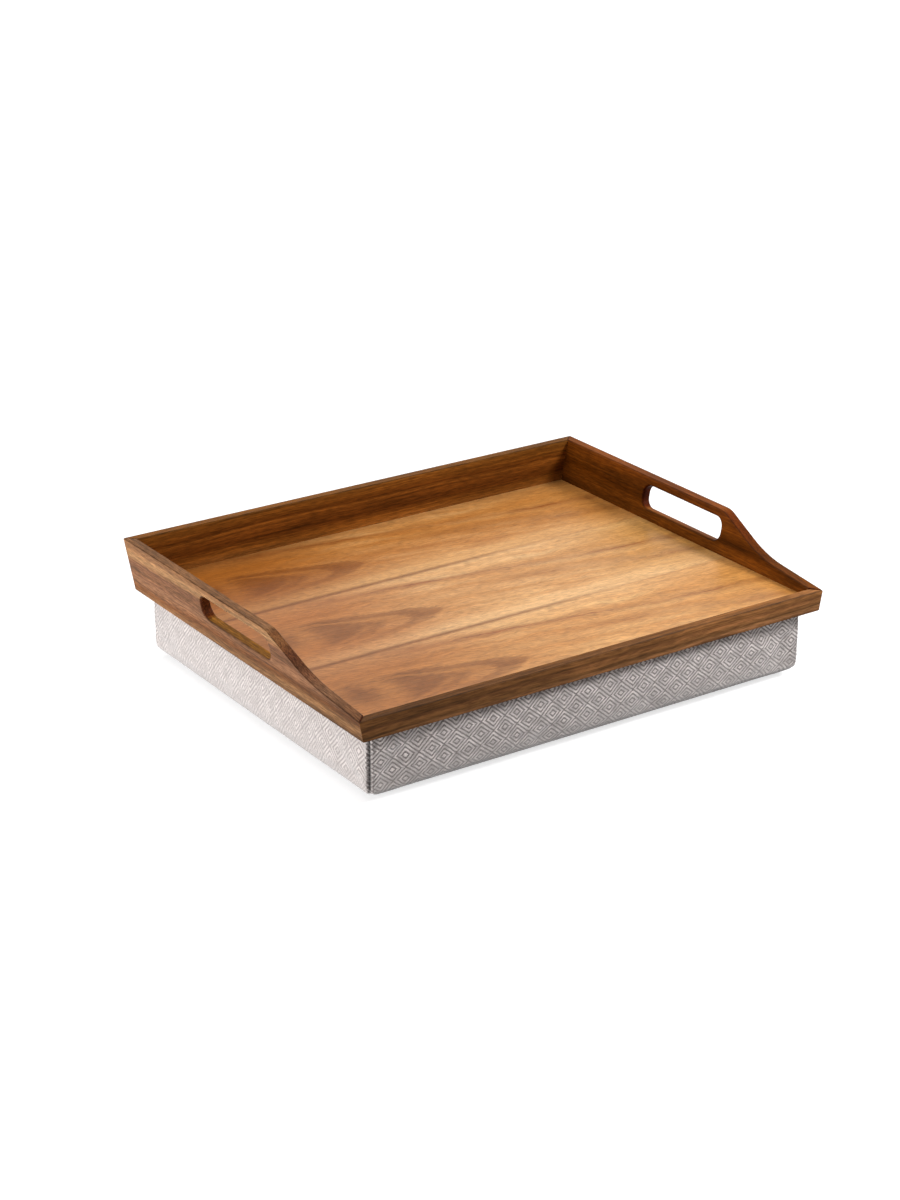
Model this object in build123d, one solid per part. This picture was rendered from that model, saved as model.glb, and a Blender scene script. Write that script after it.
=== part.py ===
from build123d import *
import math
import os

# A wooden lap tray that sits on a detachable cushion. Sizes are in millimetres.
# +X runs along the long side, +Y to the high back wall, +Z up.
# The origin is the centre of the surface that the cushion rests on.

# Overall sizes
rim_length = 444.5
tray_depth = 342.9
overall_height = 104.1

# Walls: upright at the front and back, leaning outwards at the two sides
wall_thickness = 8.4
side_lean = 10.5
back_wall_height = 46.9
front_wall_height = 17.0
rim_easing = 0.7
foot_easing = 0.5

# Top edge of a side wall: high at the back, swept down to the low front rim
shoulder_ahead = 51.5
valley_ahead = 102.8
valley_height = 23.8
shoulder_radius = 22.0
valley_radius = 120.0

# Hand hold through each side wall
grip_length = 102.0
grip_height = 20.0
grip_corner = 8.0
grip_bridge = 7.7
grip_rounding = 2.0

# Floor panel: plywood with veneer leaves above and a balancing veneer below
lip_height = 6.1
core_thickness = 4.2
veneer_thickness = 0.6
leaf_width = 115.0
leaf_joint = 0.05
groove_depth = 4.0
groove_clearance = 0.1

# Flat wire brads that pin the mitred corners, set under the putty of the side walls
brad_width = 1.2
brad_thickness = 1.0
brad_length = 22.0
brad_putty = 1.0
brad_clearance = 0.05
front_brads = 1
back_brads = 2

# Cushion: one soft form with an open-topped cover, a top panel and a foam insert
cushion_end_clearance = 2.4
cushion_side_clearance = 0.95
cushion_corner = 5.0
seam_bow = 0.4
side_swell = 1.2
soft_edge_reach = 36.0
soft_edge_height = 12.0
belly_flat = 0.5
corner_spread_share = 0.5
soft_edge_steps = 6
side_steps = 6
fabric_thickness = 0.9
insert_slack = 0.2

# Hook strips under the panel and loop strips on the cushion
strip_width = 25.0
strip_length = 240.0
strip_inset = 62.0
hook_thickness = 1.2
loop_thickness = 1.2
hook_gap = 0.1

# Zip along the back of the cover, its tapes sewn behind the opening
zip_drop = 15.0
zip_end_space = 57.7
zip_opening_width = 10.4
zip_tape_width = 9.0
zip_tape_thickness = 0.5
zip_tape_end = 5.0
zip_sewing_gap = 0.1
tooth_pitch = 2.5
tooth_reach = 1.1
tooth_head_width = 1.1
tooth_neck_width = 0.8
tooth_thickness = 2.2
tooth_root = 3.0
tooth_cord = 1.2
stop_length = 2.4
stop_clearance = 0.3

# Zip slider and its pull
slider_length = 10.0
slider_nose_width = 9.8
slider_tail_width = 8.2
slider_plate = 1.0
slider_clearance = 0.2
divider_length = 3.0
divider_width = 1.8
bridge_length = 7.0
bridge_width = 1.6
bridge_rise = 1.8
bridge_thickness = 0.9
pull_length = 21.0
pull_width = 7.0
pull_thickness = 1.2
pull_tip_width = 5.0
pull_arm_width = 1.5
pull_window_length = 5.6
pull_bar_diameter = 1.0
pull_clearance = 0.15
pull_corner = 1.2
pull_round_share = 0.45

# Cuts run this far past the faces that they pass through
overrun = 5.0

# Heights that follow from the sizes above
foot_z = overall_height - back_wall_height
front_rim_z = foot_z + front_wall_height
floor_z = front_rim_z - lip_height
core_top_z = floor_z - veneer_thickness
core_bottom_z = core_top_z - core_thickness
panel_bottom_z = core_bottom_z - veneer_thickness
hook_bottom_z = panel_bottom_z - hook_thickness
loop_bottom_z = hook_bottom_z - hook_gap - loop_thickness
cushion_top_z = loop_bottom_z
cover_seam_z = cushion_top_z - fabric_thickness

# Sides that follow from the lean of the side walls
lean_tangent = math.tan(math.radians(side_lean))
lean_cosine = math.cos(math.radians(side_lean))
side_wall_span = wall_thickness / lean_cosine
inner_depth = tray_depth - 2 * wall_thickness
# Breaking the leaning rim's edge takes a little off its length, so the boards start that much longer
eased_loss = rim_easing * math.sin(math.radians(side_lean))


def outer_half_length(height):
    return rim_length / 2 + eased_loss - (overall_height - height) * lean_tangent


def inner_half_length(height):
    return outer_half_length(height) - side_wall_span


panel_half_length = inner_half_length(floor_z) + groove_depth - groove_clearance
panel_half_depth = inner_depth / 2 + groove_depth - groove_clearance

# The cushion fits between the feet of the walls
cushion_length = 2 * (inner_half_length(foot_z) - cushion_end_clearance)
cushion_depth = inner_depth - 2 * cushion_side_clearance

# Zip planes, counted inwards from the back face of the cover, and places along it
zip_opening_length = cushion_length - 2 * zip_end_space
zip_height = cover_seam_z - zip_drop
tape_outer_y = cushion_depth / 2 - fabric_thickness - zip_sewing_gap
tape_inner_y = tape_outer_y - zip_tape_thickness
tooth_middle_y = (tape_outer_y + tape_inner_y) / 2
tooth_outer_y = tooth_middle_y + tooth_thickness / 2
tooth_inner_y = tooth_middle_y - tooth_thickness / 2
slider_outer_y = tooth_outer_y + slider_clearance + slider_plate
slider_inner_y = tooth_inner_y - slider_clearance - slider_plate
stop_half_space = zip_opening_length / 2 - stop_length - stop_clearance
chain_start_x = -stop_half_space
slider_nose_x = stop_half_space - stop_clearance
slider_tail_x = slider_nose_x - slider_length
chain_end_x = slider_nose_x - divider_length - 2 * slider_clearance
tooth_count = int((chain_end_x - chain_start_x) / tooth_pitch - 0.5)
slider_travel = slider_tail_x - chain_start_x - stop_clearance

# Bridge on the slider and the bar of the pull that turns under it
bridge_middle_x = (slider_nose_x + slider_tail_x) / 2
bridge_outer_y = slider_outer_y + bridge_rise + bridge_thickness
pull_pivot_x = bridge_middle_x
pull_pivot_y = slider_outer_y + pull_clearance + pull_thickness / 2


def block(low, high):
    # Box between two opposite corners
    size = [top - bottom for bottom, top in zip(low, high)]
    middle = [(top + bottom) / 2 for bottom, top in zip(low, high)]
    return Pos(*middle) * Box(*size)


def solid_face(points):
    return make_face(Polyline(*points, close=True))


def save(shape, node):
    export_step(shape, f"parts/{node}.step")


# Walls

def side_wall_outline(height):
    # Level cut through the right wall: its ends are the mitres
    outer, inner = outer_half_length(height), inner_half_length(height)
    outer_y, inner_y = tray_depth / 2, inner_depth / 2
    points = [(outer, -outer_y), (outer, outer_y), (inner, inner_y), (inner, -inner_y)]
    return Pos(0, 0, height) * solid_face(points)


def end_wall_outline(height):
    # Level cut through the back wall between the same two mitres
    outer, inner = outer_half_length(height), inner_half_length(height)
    outer_y, inner_y = tray_depth / 2, inner_depth / 2
    points = [(-outer, outer_y), (outer, outer_y), (inner, inner_y), (-inner, inner_y)]
    return Pos(0, 0, height) * solid_face(points)


def mitred_board(outline, top_z):
    # A leaning board keeps straight lines from foot to rim, so a ruled loft holds its mitres
    return loft([outline(foot_z), outline(top_z)], ruled=True)


def above_rim():
    # What the saw takes off a side wall: over the level rim, the shoulder, the hollow and the front slope
    front_y, back_y = -tray_depth / 2 - overrun, tray_depth / 2 + overrun
    valley_z = foot_z + valley_height
    slope = (valley_z - front_rim_z) / (tray_depth / 2 - valley_ahead)
    front_z = front_rim_z - slope * overrun
    top_z = overall_height + 2 * overrun
    rim_line = FilletPolyline(
        (back_y, overall_height),
        (-shoulder_ahead, overall_height),
        (-valley_ahead, valley_z),
        (front_y, front_z),
        radius=[shoulder_radius, valley_radius],
    )
    offcut = Polyline((front_y, front_z), (front_y, top_z), (back_y, top_z), (back_y, overall_height))
    return extrude(make_face(Plane.YZ * (rim_line + offcut)), amount=rim_length, both=True)


def long_edges(wall, lowest, highest, along_x):
    # Edges of the rim or foot that run the length of a wall, without those of its mitres
    chosen = []
    for edge in wall.edges():
        span = edge.bounding_box()
        runs_x = span.size.X > span.size.Y + span.size.Z
        runs_y = span.size.Y > span.size.X and span.size.Y > span.size.Z
        in_band = span.min.Z > lowest - foot_easing / 2 and span.max.Z < highest + foot_easing / 2
        if in_band and (runs_x if along_x else runs_y):
            chosen.append(edge)
    return chosen


def eased_board(wall, rim_low_z, along_x):
    # Rim and foot edges broken as by a pass of a sanding block
    wall = chamfer(long_edges(wall, rim_low_z, overall_height, along_x), rim_easing)
    return chamfer(long_edges(wall, foot_z, foot_z, along_x), foot_easing)


def groove_cutter():
    # Level slot that takes the floor panel on all four sides
    reach_x = panel_half_length + groove_clearance
    reach_y = panel_half_depth + groove_clearance
    low_z = panel_bottom_z - groove_clearance
    high_z = floor_z + groove_clearance
    return block((-reach_x, -reach_y, low_z), (reach_x, reach_y, high_z))


def brad_heights(count, rim_z):
    # One brad under the groove, the rest evenly spaced between the groove and the rim
    heights = [(foot_z + panel_bottom_z) / 2]
    for step in range(count):
        heights.append(floor_z + (rim_z - floor_z) * (step + 1) / (count + 1))
    return heights


def brad_places():
    # Head of each brad on the right, just under the outer face of the side wall
    end_y = tray_depth / 2 - wall_thickness / 2
    front = [(-end_y, height) for height in brad_heights(front_brads, front_rim_z)]
    back = [(end_y, height) for height in brad_heights(back_brads, overall_height)]
    return [(outer_half_length(height) - brad_putty, y, height) for y, height in front + back]


def brad(place, side, clearance):
    # Level pin from the side wall through the mitre into the end of the front or back wall
    x, y, height = place
    wire = [size + 2 * clearance for size in (brad_length, brad_thickness, brad_width)]
    return Pos(side * (x - brad_length / 2), y, height) * Box(*wire)


def all_brads(clearance):
    return [brad(place, side, clearance) for side in (-1, 1) for place in brad_places()]


def grip_plane():
    # Middle of the right wall's thickness at the middle of its hand hold
    below_rim = (grip_bridge + grip_height / 2) * lean_cosine
    height = overall_height - below_rim
    middle_x = outer_half_length(height) - side_wall_span / 2
    outward = (lean_cosine, 0, -lean_cosine * lean_tangent)
    return Plane(origin=(middle_x, 0, height), x_dir=(0, 1, 0), z_dir=outward)


def cut_grip(wall):
    # Hand hold cut square through the leaning board, its edges rounded for the fingers
    plane = grip_plane()
    window = plane * RectangleRounded(grip_length, grip_height, grip_corner)
    wall = wall - extrude(window, wall_thickness, both=True)
    mouths = []
    for edge in wall.edges():
        start = plane.to_local_coords(edge.position_at(0))
        end = plane.to_local_coords(edge.position_at(1))
        on_face = abs(start.Z - end.Z) < wall_thickness / 2
        near_x = max(abs(start.X), abs(end.X)) < grip_length / 2 + rim_easing
        near_y = max(abs(start.Y), abs(end.Y)) < grip_height / 2 + rim_easing
        if on_face and near_x and near_y:
            mouths.append(edge)
    return fillet(mouths, grip_rounding)


def make_side_wall():
    wall = mitred_board(side_wall_outline, overall_height + overrun) - above_rim()
    wall = eased_board(wall, front_rim_z, along_x=False)
    wall = cut_grip(wall)
    wall = wall - groove_cutter()
    for hole in all_brads(brad_clearance):
        wall = wall - hole
    return wall


def make_end_wall(rim_z):
    wall = mitred_board(end_wall_outline, rim_z)
    wall = eased_board(wall, rim_z, along_x=True)
    return wall - groove_cutter()


def make_walls():
    right = make_side_wall()
    save(right, "right_wall")
    save(mirror(right, about=Plane.YZ), "left_wall")
    back = make_end_wall(overall_height)
    front = mirror(make_end_wall(front_rim_z), about=Plane.XZ)
    for hole in all_brads(brad_clearance):
        back = back - hole
        front = front - hole
    save(back, "back_wall")
    save(front, "front_wall")
    save(Compound(all_brads(0)), "corner_brads")


# Floor panel

def panel_layer(bottom, top, front_y=-panel_half_depth, back_y=panel_half_depth):
    return block((-panel_half_length, front_y, bottom), (panel_half_length, back_y, top))


def make_floor():
    save(panel_layer(core_bottom_z, core_top_z), "floor_core")
    save(panel_layer(panel_bottom_z, core_bottom_z), "underside_veneer")
    # The leaves are laid from the back edge and the last one is trimmed at the front
    back_y = panel_half_depth
    for name in ("back", "middle", "front"):
        front_y = -panel_half_depth if name == "front" else back_y - leaf_width
        save(panel_layer(core_top_z, floor_z, front_y + leaf_joint, back_y), f"veneer_leaf_{name}")
        back_y = front_y


# Hook-and-loop strips

def strip_pair(bottom, top, name):
    for side, word in ((-1, "left"), (1, "right")):
        middle_x = side * (cushion_length / 2 - strip_inset)
        low = (middle_x - strip_width / 2, -strip_length / 2, bottom)
        high = (middle_x + strip_width / 2, strip_length / 2, top)
        save(block(low, high), f"{name}_{word}")


# Cushion

def side_swell_at(level):
    # Bow of the sides at one level: least at the seam and the bottom edge, most half way up
    share = (level - soft_edge_height) / (cushion_top_z - soft_edge_height)
    return seam_bow + side_swell * math.sin(math.pi * max(share, 0))


def cushion_outline(level, inset, corner):
    # Level cut: sides bowed out between small round corners, the back held straight by the zip
    side_x = cushion_length / 2 - inset
    side_y = cushion_depth / 2 - inset
    near_x, near_y = side_x - corner, side_y - corner
    bow = side_swell_at(level)
    arc_x = near_x + corner * math.cos(math.radians(45))
    arc_y = near_y + corner * math.cos(math.radians(45))
    edges = [
        Line((-near_x, side_y), (near_x, side_y)),
        ThreePointArc((near_x, side_y), (arc_x, arc_y), (side_x, near_y)),
        ThreePointArc((side_x, near_y), (side_x + bow, 0), (side_x, -near_y)),
        ThreePointArc((side_x, -near_y), (arc_x, -arc_y), (near_x, -side_y)),
        ThreePointArc((near_x, -side_y), (0, -side_y - bow), (-near_x, -side_y)),
        ThreePointArc((-near_x, -side_y), (-arc_x, -arc_y), (-side_x, -near_y)),
        ThreePointArc((-side_x, -near_y), (-side_x - bow, 0), (-side_x, near_y)),
        ThreePointArc((-side_x, near_y), (-arc_x, arc_y), (-near_x, side_y)),
    ]
    return Pos(0, 0, level) * make_face(Wire(edges))


def cushion_sides(skin, bottom, top, steps):
    # Stretch of the form between its soft bottom edge and the top seam
    levels = [bottom + (top - bottom) * step / steps for step in range(steps + 1)]
    return loft([cushion_outline(level, skin, cushion_corner) for level in levels], ruled=True)


def cushion_form(skin, bottom, top):
    # The stuffed shape, shrunk by a skin: belly crowned but cut flat, and a soft elliptic bottom edge
    crown = soft_edge_height + belly_flat - skin
    first_turn = math.acos((soft_edge_height - bottom) / crown)
    sections = []
    for step in range(soft_edge_steps + 1):
        turn = first_turn + (math.pi / 2 - first_turn) * step / soft_edge_steps
        level = soft_edge_height - crown * math.cos(turn)
        inset = soft_edge_reach - (soft_edge_reach - skin) * math.sin(turn)
        corner = cushion_corner + (inset - skin) * corner_spread_share
        sections.append(cushion_outline(level, inset, corner))
    above_flat = block((-cushion_length, -cushion_depth, bottom), (cushion_length, cushion_depth, top))
    soft_edge = loft(sections, ruled=True) & above_flat
    return soft_edge + cushion_sides(skin, soft_edge_height, top, side_steps)


def zip_block(half_length, half_width, front_y, back_y):
    low = (-half_length, front_y, zip_height - half_width)
    high = (half_length, back_y, zip_height + half_width)
    return block(low, high)


def make_cushion():
    outer = cushion_form(0, 0, cover_seam_z)
    inner = cushion_form(fabric_thickness, fabric_thickness, cover_seam_z)
    opening = zip_block(zip_opening_length / 2, zip_opening_width / 2, 0, cushion_depth)
    save(outer - inner - opening, "cover_shell")
    save(cushion_sides(0, cover_seam_z, cushion_top_z, 1), "cover_top")
    # The foam is cut back behind the zip, where the tapes and the slider run
    core_skin = fabric_thickness + insert_slack
    core = cushion_form(core_skin, core_skin, cover_seam_z - insert_slack)
    relief_width = tooth_root + zip_tape_width + insert_slack
    relief_length = zip_opening_length / 2 + zip_tape_end + insert_slack
    relief = zip_block(relief_length, relief_width, slider_inner_y - insert_slack, cushion_depth)
    save(core - relief, "cushion_insert")


# Zip

def tooth_comb(side):
    # One moulded row of teeth on its cord, side 1 above the zip's middle line and -1 below it
    first_x = chain_start_x + tooth_pitch / 2 + (0 if side > 0 else tooth_pitch / 2)
    neck_z = tooth_root - tooth_cord
    points = [(chain_start_x, tooth_root), (chain_start_x, neck_z)]
    for index in range(tooth_count):
        middle = first_x + index * tooth_pitch
        neck, head = tooth_neck_width / 2, tooth_head_width / 2
        points += [(middle - neck, neck_z), (middle - head, -tooth_reach)]
        points += [(middle + head, -tooth_reach), (middle + neck, neck_z)]
    points += [(chain_end_x, neck_z), (chain_end_x, tooth_root)]
    outline = [(x, side * z) for x, z in points]
    plane = Plane(origin=(0, tooth_outer_y, zip_height), x_dir=(1, 0, 0), z_dir=(0, -1, 0))
    return extrude(plane * solid_face(outline), tooth_thickness)


def zip_tape(side):
    half_length = zip_opening_length / 2 + zip_tape_end
    edge_z = zip_height + side * tooth_root
    far_z = edge_z + side * zip_tape_width
    low = (-half_length, tape_inner_y, min(edge_z, far_z))
    high = (half_length, tape_outer_y, max(edge_z, far_z))
    return block(low, high)


def stop_block(start_x, low, high):
    bottom = (start_x, tooth_inner_y, zip_height + low)
    top = (start_x + stop_length, tooth_outer_y, zip_height + high)
    return block(bottom, top)


def make_zip():
    save(tooth_comb(1), "zip_teeth_upper")
    save(tooth_comb(-1), "zip_teeth_lower")
    save(zip_tape(1), "zip_tape_upper")
    save(zip_tape(-1), "zip_tape_lower")
    # A clip on the end of each row stops the slider when closed, one across both when open
    clip_start = tooth_root - tooth_cord
    upper = stop_block(stop_half_space, clip_start, tooth_root)
    lower = stop_block(stop_half_space, -tooth_root, -clip_start)
    save(Compound([upper, lower]), "zip_top_stop")
    save(stop_block(chain_start_x - stop_length, -tooth_root, tooth_root), "zip_bottom_stop")


def slider_plate_outline():
    # Wide at the nose, where the two rows enter side by side, and narrow at the tail
    shoulder_x = slider_nose_x - divider_length
    nose, tail = slider_nose_width / 2, slider_tail_width / 2
    points = [(slider_tail_x, -tail), (slider_tail_x, tail), (shoulder_x, nose), (slider_nose_x, nose)]
    points += [(slider_nose_x, -nose), (shoulder_x, -nose)]
    return points


def slider_solid(outline, outer_y, depth):
    plane = Plane(origin=(0, outer_y, zip_height), x_dir=(1, 0, 0), z_dir=(0, -1, 0))
    return extrude(plane * solid_face(outline), depth)


def make_slider():
    outline = slider_plate_outline()
    whole = slider_solid(outline, slider_outer_y, slider_outer_y - slider_inner_y)
    # Channel for the closed rows, and a slit on each side where the tapes run out
    channel_half = tooth_root + slider_clearance
    channel = block(
        (slider_tail_x - overrun, tooth_inner_y - slider_clearance, zip_height - channel_half),
        (slider_nose_x + overrun, tooth_outer_y + slider_clearance, zip_height + channel_half),
    )
    slit = block(
        (slider_tail_x - overrun, tape_inner_y - slider_clearance, zip_height - slider_nose_width),
        (slider_nose_x + overrun, tape_outer_y + slider_clearance, zip_height + slider_nose_width),
    )
    divider = block(
        (slider_nose_x - divider_length, slider_inner_y, zip_height - divider_width / 2),
        (slider_nose_x, slider_outer_y, zip_height + divider_width / 2),
    )
    body = whole - channel - slit + divider
    # Bridge over the outer plate, under which the bar of the pull turns
    bridge = block(
        (bridge_middle_x - bridge_length / 2, slider_outer_y, zip_height - bridge_width / 2),
        (bridge_middle_x + bridge_length / 2, bridge_outer_y, zip_height + bridge_width / 2),
    )
    eye_half = bridge_length / 2 - bridge_thickness
    eye = block(
        (bridge_middle_x - eye_half, slider_outer_y, zip_height - bridge_width),
        (bridge_middle_x + eye_half, slider_outer_y + bridge_rise, zip_height + bridge_width),
    )
    save(body + (bridge - eye), "zip_slider")


def make_pull():
    # Flat tab whose window straddles the bridge, with a round bar under it
    root_x = pull_pivot_x + pull_thickness / 2
    tip_x = root_x - pull_length
    half, tip_half = pull_width / 2, pull_tip_width / 2
    outline = [(root_x, -half), (root_x, half), (tip_x, tip_half), (tip_x, -tip_half)]
    outer_y = pull_pivot_y + pull_thickness / 2
    tab = slider_solid(outline, outer_y, pull_thickness)
    tab = fillet(tab.edges().filter_by(Axis.Y).group_by(Axis.X)[0], pull_corner)
    # The root end is round about the bar, so that it clears the slider's plate as it turns
    tab = fillet(tab.edges().filter_by(Axis.Z).group_by(Axis.X)[-1], pull_thickness * pull_round_share)
    window_half = half - pull_arm_width
    window = block(
        (pull_pivot_x - pull_window_length, outer_y - pull_thickness - overrun, zip_height - window_half),
        (root_x + overrun, outer_y + overrun, zip_height + window_half),
    )
    tab = tab - window
    bar = Pos(pull_pivot_x, pull_pivot_y, zip_height) * Cylinder(pull_bar_diameter / 2, 2 * window_half)
    save(tab + bar, "zip_pull")


os.makedirs("parts", exist_ok=True)
make_walls()
make_floor()
strip_pair(hook_bottom_z, panel_bottom_z, "hook_strip")
strip_pair(loop_bottom_z, loop_bottom_z + loop_thickness, "loop_strip")
make_cushion()
make_zip()
make_slider()
make_pull()
print(f"foot {foot_z:.2f}, panel {panel_bottom_z:.2f} to {floor_z:.2f}, cushion top {cushion_top_z:.2f}")
print(f"zip: {tooth_count} teeth a row, slider travel {slider_travel:.2f}")
print(f"pull pivot at x {pull_pivot_x:.2f}, y {pull_pivot_y:.2f}, z {zip_height:.2f}")
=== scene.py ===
import math
from functools import partial

import bmesh
import bpy
import numpy as np
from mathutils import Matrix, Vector
from mathutils.bvhtree import BVHTree
from mathutils.kdtree import KDTree


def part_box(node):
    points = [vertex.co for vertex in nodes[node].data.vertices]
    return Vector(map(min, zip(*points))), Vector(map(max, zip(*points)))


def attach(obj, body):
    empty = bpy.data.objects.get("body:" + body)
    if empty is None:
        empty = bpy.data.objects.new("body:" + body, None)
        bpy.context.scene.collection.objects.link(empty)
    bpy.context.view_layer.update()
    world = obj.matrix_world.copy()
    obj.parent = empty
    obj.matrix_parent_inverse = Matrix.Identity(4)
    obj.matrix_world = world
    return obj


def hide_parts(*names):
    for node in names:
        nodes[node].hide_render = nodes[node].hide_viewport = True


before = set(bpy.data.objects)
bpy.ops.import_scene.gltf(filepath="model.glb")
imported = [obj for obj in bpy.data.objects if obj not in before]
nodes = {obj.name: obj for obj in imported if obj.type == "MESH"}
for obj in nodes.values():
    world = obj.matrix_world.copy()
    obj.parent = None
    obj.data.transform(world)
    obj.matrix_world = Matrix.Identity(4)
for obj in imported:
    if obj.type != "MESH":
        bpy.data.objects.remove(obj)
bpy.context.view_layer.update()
mm = 0.001  # sizes in this file are in millimetres, Blender's are in metres


def newObject(name, data):
    made = bpy.data.objects.new(name, data)
    bpy.context.scene.collection.objects.link(made)
    return made


# Camera, fitted to the corners of the tray in the picture

viewPoint = {
    "place": (-1.08455, -1.56157, 0.8537),  # metres
    "tilt": 67.271,  # degrees up from straight down
    "heading": -34.204,  # degrees about the vertical
    "lens": 77.278,
    "sensor": 36.0,
}
camera = newObject("camera", bpy.data.cameras.new("camera"))
camera.data.sensor_width = viewPoint["sensor"]
camera.data.lens = viewPoint["lens"]
camera.location = viewPoint["place"]
camera.rotation_euler = (math.radians(viewPoint["tilt"]), 0, math.radians(viewPoint["heading"]))
bpy.context.scene.camera = camera
print("camera: lens", viewPoint["lens"])


# Nodes and colours

mixSockets = (0, 6, 7)  # a Mix node's share, first and second colour
smooth = {"interpolation_type": "SMOOTHSTEP"}


def toLinear(hexColour):
    # sRGB hex, as colours are written here, to the linear values that sockets take
    channels = [int(hexColour[i:i + 2], 16) / 255 for i in (1, 3, 5)]
    return [c / 12.92 if c <= 0.04045 else ((c + 0.055) / 1.055) ** 2.4 for c in channels] + [1.0]


def feed(node, inputs):
    # Gives a node's inputs their values: a number, a hex colour, or the node or socket that one is linked to
    for name, value in inputs.items():
        socket = node.inputs[name.replace("_", " ") if isinstance(name, str) else name]
        if isinstance(value, bpy.types.Node):
            value = next(output for output in value.outputs if output.enabled)
        if isinstance(value, bpy.types.NodeSocket):
            node.id_data.links.new(value, socket)
        else:
            socket.default_value = toLinear(value) if isinstance(value, str) else value


def addNode(tree, kind, *values, stops=(), **settings):
    # One node: its kind, with the operation after a space, its inputs in the order of the sockets or by name in a
    # dictionary, the stops of a colour ramp from first to last, and its other settings
    kind, _, operation = kind.partition(" ")
    node = tree.nodes.new("ShaderNode" + kind)
    if operation:
        settings["operation"] = operation
    if kind == "Mix":
        settings["data_type"] = "RGBA"
    for name, value in settings.items():
        setattr(node, name, value)
    for place, (position, value) in enumerate([*stops[:1], *stops[-1:], *stops[1:-1]]):
        elements = node.color_ramp.elements
        stop = elements[place] if place < 2 else elements.new(position)
        stop.position = position
        stop.color = toLinear(value) if isinstance(value, str) else (value, value, value, 1)
    for place, value in enumerate(values):
        place = mixSockets[place] if kind == "Mix" else place
        feed(node, value if isinstance(value, dict) else {place: value})
    return node


def newMaterial(name, **shaderValues):
    # A material whose shader holds its constant values, and the function that adds nodes to it
    material = bpy.data.materials.new(name)
    material.use_nodes = True
    feed(material.node_tree.nodes["Principled BSDF"], shaderValues)
    return material, partial(addNode, material.node_tree)


def finished(material, colour, height=None, strength=0.5, depth=0.1, **sockets):
    # Links a material's colour, its relief with a depth in millimetres, and what else varies over it
    tree = material.node_tree
    if height:
        sockets["Normal"] = addNode(tree, "Bump", {"Height": height, "Strength": strength, "Distance": depth * mm})
    feed(tree.nodes["Principled BSDF"], {"Base Color": colour, **sockets})
    return material


def partPlace(add):
    # Where a point is on the part, in millimetres, so that every pattern below keeps its real size
    return add("VectorMath SCALE", add("TexCoord").outputs["Object"], {"Scale": 1 / mm})


def grainNoise(add, place, size, detail, roughness=0.5, **inputs):
    # A noise with marks of a size in millimetres: one number, or one for each axis
    scale = [1 / length for length in (size if isinstance(size, tuple) else (size,) * 3)]
    place = add("VectorMath MULTIPLY", place, scale)
    return add("TexNoise", {"Vector": place, "Scale": 1.0, "Detail": detail, "Roughness": roughness, **inputs})


def ribs(add, place, spacing):
    # A wave along one axis, with one turn in each spacing
    return add("Math SINE", add("Math MULTIPLY", place, 2 * math.pi / spacing))


def dress(material, *names):
    for name in names:
        nodes[name].data.materials.clear()
        nodes[name].data.materials.append(material)


# Walls: solid acacia, planed, sanded and oiled

boardGrain = {
    # Length and width of each kind of mark, then the detail and the roughness of its noise
    "drift": (130.0, 26.0, 3.0),
    "clouds": (80.0, 11.0, 3.0),  # darker and paler lengths of the same band
    "streaks": (110.0, 1.4, 5.0, 0.7),  # fine dark lines along the grain
    "flecks": (9.0, 0.9, 2.0),  # real pores are 0.3 wide, which wouldn't show
    "wander": 7.0,  # how far the grain drifts off the straight
    "poreDepth": 0.15,
    "specular": 0.04,  # open-pored oil reflects less than a lacquer does
    "endGrain": (0.44, 0.23, 0.11),  # share of red, green and blue left where the cut is square to the grain
    "arris": 0.55,  # share of colour left on the eased edges, where oil gathers
}


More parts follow.
